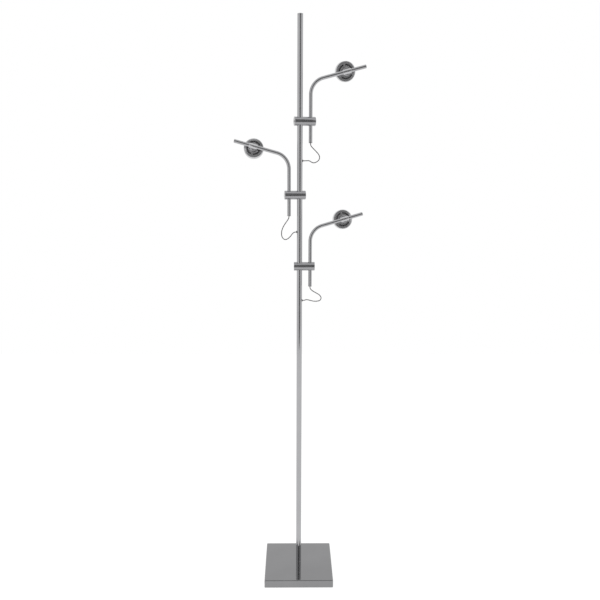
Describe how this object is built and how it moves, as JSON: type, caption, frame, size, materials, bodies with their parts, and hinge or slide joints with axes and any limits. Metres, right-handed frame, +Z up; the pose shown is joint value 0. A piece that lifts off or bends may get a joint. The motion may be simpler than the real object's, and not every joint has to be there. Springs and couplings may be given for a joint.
{
  "type": "tree floor lamp",
  "caption": "Chromed pole lamp on a square base; clamps on the pole carry bent tube arms with round spot heads that slide, swivel, turn and tilt.",
  "frame": {"origin": "on the floor under the centre of the square base, on the pole's axis", "axes": "+Z up along the pole, -Y towards the side the heads turn their backs to, +X to the right seen from there"},
  "size_m": [0.4467, 0.252, 1.996],
  "materials": {
    "polished_chrome": "polished chrome plate on steel",
    "clamp_chrome": "chrome plate on zinc casting, slightly satin",
    "head_chrome": "chrome plate on zinc casting",
    "cast_iron": "as cast, painted",
    "black_steel": "black coated steel",
    "black_felt": "dense felt",
    "zinc_steel": "zinc plated",
    "satin_steel": "turned",
    "black_plastic": "fine grained",
    "black_rubber": "matte",
    "lead_jacket": "dark grey cable jacket",
    "nylon": "natural nylon",
    "black_aluminium": "black anodised",
    "white_board": "white solder mask",
    "opal_lens": "opal diffuser"
  },
  "bodies": {
    "stand": {"base_cover": "polished_chrome", "ballast_plate": "cast_iron", "bottom_plate": "black_steel", "base_felt": "black_felt", "threaded_pipe": "zinc_steel", "pipe_nut": "zinc_steel", "pole_foot_plug": "satin_steel", "cable_gland": "black_plastic", "led_driver": "black_plastic", "pole_lower": "polished_chrome", "pole_joiner": "satin_steel", "pole_upper": "polished_chrome", "pole_top_cap": "polished_chrome", "pole_grommets": "black_rubber", "riser_cable": "lead_jacket"},
    "upper_slider": {"upper_clamp_liner": "nylon"},
    "upper_clamp": {"upper_clamp_body": "clamp_chrome", "upper_clamp_screw": "black_steel", "upper_clamp_pins": "satin_steel", "upper_lead": "lead_jacket"},
    "upper_arm": {"upper_arm_tube": "polished_chrome", "upper_arm_tip_cap": "polished_chrome", "upper_arm_end_bush": "black_plastic"},
    "upper_head": {"upper_head_collar": "clamp_chrome", "upper_collar_screw": "black_steel", "upper_head_back": "head_chrome", "upper_heat_sink": "black_aluminium", "upper_led_board": "white_board", "upper_lens": "opal_lens", "upper_head_rim": "head_chrome"},
    "middle_slider": {"middle_clamp_liner": "nylon"},
    "middle_clamp": {"middle_clamp_body": "clamp_chrome", "middle_clamp_screw": "black_steel", "middle_clamp_pins": "satin_steel", "middle_lead": "lead_jacket"},
    "middle_arm": {"middle_arm_tube": "polished_chrome", "middle_arm_tip_cap": "polished_chrome", "middle_arm_end_bush": "black_plastic"},
    "middle_head": {"middle_head_collar": "clamp_chrome", "middle_collar_screw": "black_steel", "middle_head_back": "head_chrome", "middle_heat_sink": "black_aluminium", "middle_led_board": "white_board", "middle_lens": "opal_lens", "middle_head_rim": "head_chrome"},
    "lower_slider": {"lower_clamp_liner": "nylon"},
    "lower_clamp": {"lower_clamp_body": "clamp_chrome", "lower_clamp_screw": "black_steel", "lower_clamp_pins": "satin_steel", "lower_lead": "lead_jacket"},
    "lower_arm": {"lower_arm_tube": "polished_chrome", "lower_arm_tip_cap": "polished_chrome", "lower_arm_end_bush": "black_plastic"},
    "lower_head": {"lower_head_collar": "clamp_chrome", "lower_collar_screw": "black_steel", "lower_head_back": "head_chrome", "lower_heat_sink": "black_aluminium", "lower_led_board": "white_board", "lower_lens": "opal_lens", "lower_head_rim": "head_chrome"}
  },
  "joints": [
    {"name": "upper_height", "type": "slide", "parent": "stand", "child": "upper_slider", "axis": [0, 0, 1], "range_m": [-0.025, 0.025], "deforming": ["upper_lead"]},
    {"name": "upper_swivel", "type": "hinge", "parent": "upper_slider", "child": "upper_clamp", "pos_m": [0, 0, 1.656], "axis": [0, 0, 1], "range_deg": [-60, 60], "deforming": ["upper_lead"]},
    {"name": "upper_turn", "type": "hinge", "parent": "upper_clamp", "child": "upper_arm", "pos_m": [0.03619, 0.00769, 1.656], "axis": [0, 0, 1], "range_deg": [-120, 120]},
    {"name": "upper_tilt", "type": "hinge", "parent": "upper_arm", "child": "upper_head", "pos_m": [0.15653, 0.02034, 1.81876], "axis": [0.9595, 0.1008, 0.263], "range_deg": [-90, 90]},
    {"name": "middle_height", "type": "slide", "parent": "stand", "child": "middle_slider", "axis": [0, 0, 1], "range_m": [-0.025, 0.025], "deforming": ["middle_lead"]},
    {"name": "middle_swivel", "type": "hinge", "parent": "middle_slider", "child": "middle_clamp", "pos_m": [0, 0, 1.411], "axis": [0, 0, 1], "range_deg": [-60, 60], "deforming": ["middle_lead"]},
    {"name": "middle_turn", "type": "hinge", "parent": "middle_clamp", "child": "middle_arm", "pos_m": [-0.03654, -0.00579, 1.411], "axis": [0, 0, 1], "range_deg": [-120, 120]},
    {"name": "middle_tilt", "type": "hinge", "parent": "middle_arm", "child": "middle_head", "pos_m": [-0.15725, 0.00265, 1.57377], "axis": [-0.9624, 0.0673, 0.263], "range_deg": [-90, 90]},
    {"name": "lower_height", "type": "slide", "parent": "stand", "child": "lower_slider", "axis": [0, 0, 1], "range_m": [-0.025, 0.025], "deforming": ["lower_lead"]},
    {"name": "lower_swivel", "type": "hinge", "parent": "lower_slider", "child": "lower_clamp", "pos_m": [0, 0, 1.165], "axis": [0, 0, 1], "range_deg": [-60, 60], "deforming": ["lower_lead"]},
    {"name": "lower_turn", "type": "hinge", "parent": "lower_clamp", "child": "lower_arm", "pos_m": [0.03698, 0.00129, 1.165], "axis": [0, 0, 1], "range_deg": [-120, 120]},
    {"name": "lower_tilt", "type": "hinge", "parent": "lower_arm", "child": "lower_head", "pos_m": [0.15575, 0.02438, 1.32777], "axis": [0.9471, 0.1841, 0.263], "range_deg": [-90, 90]}
  ]
}
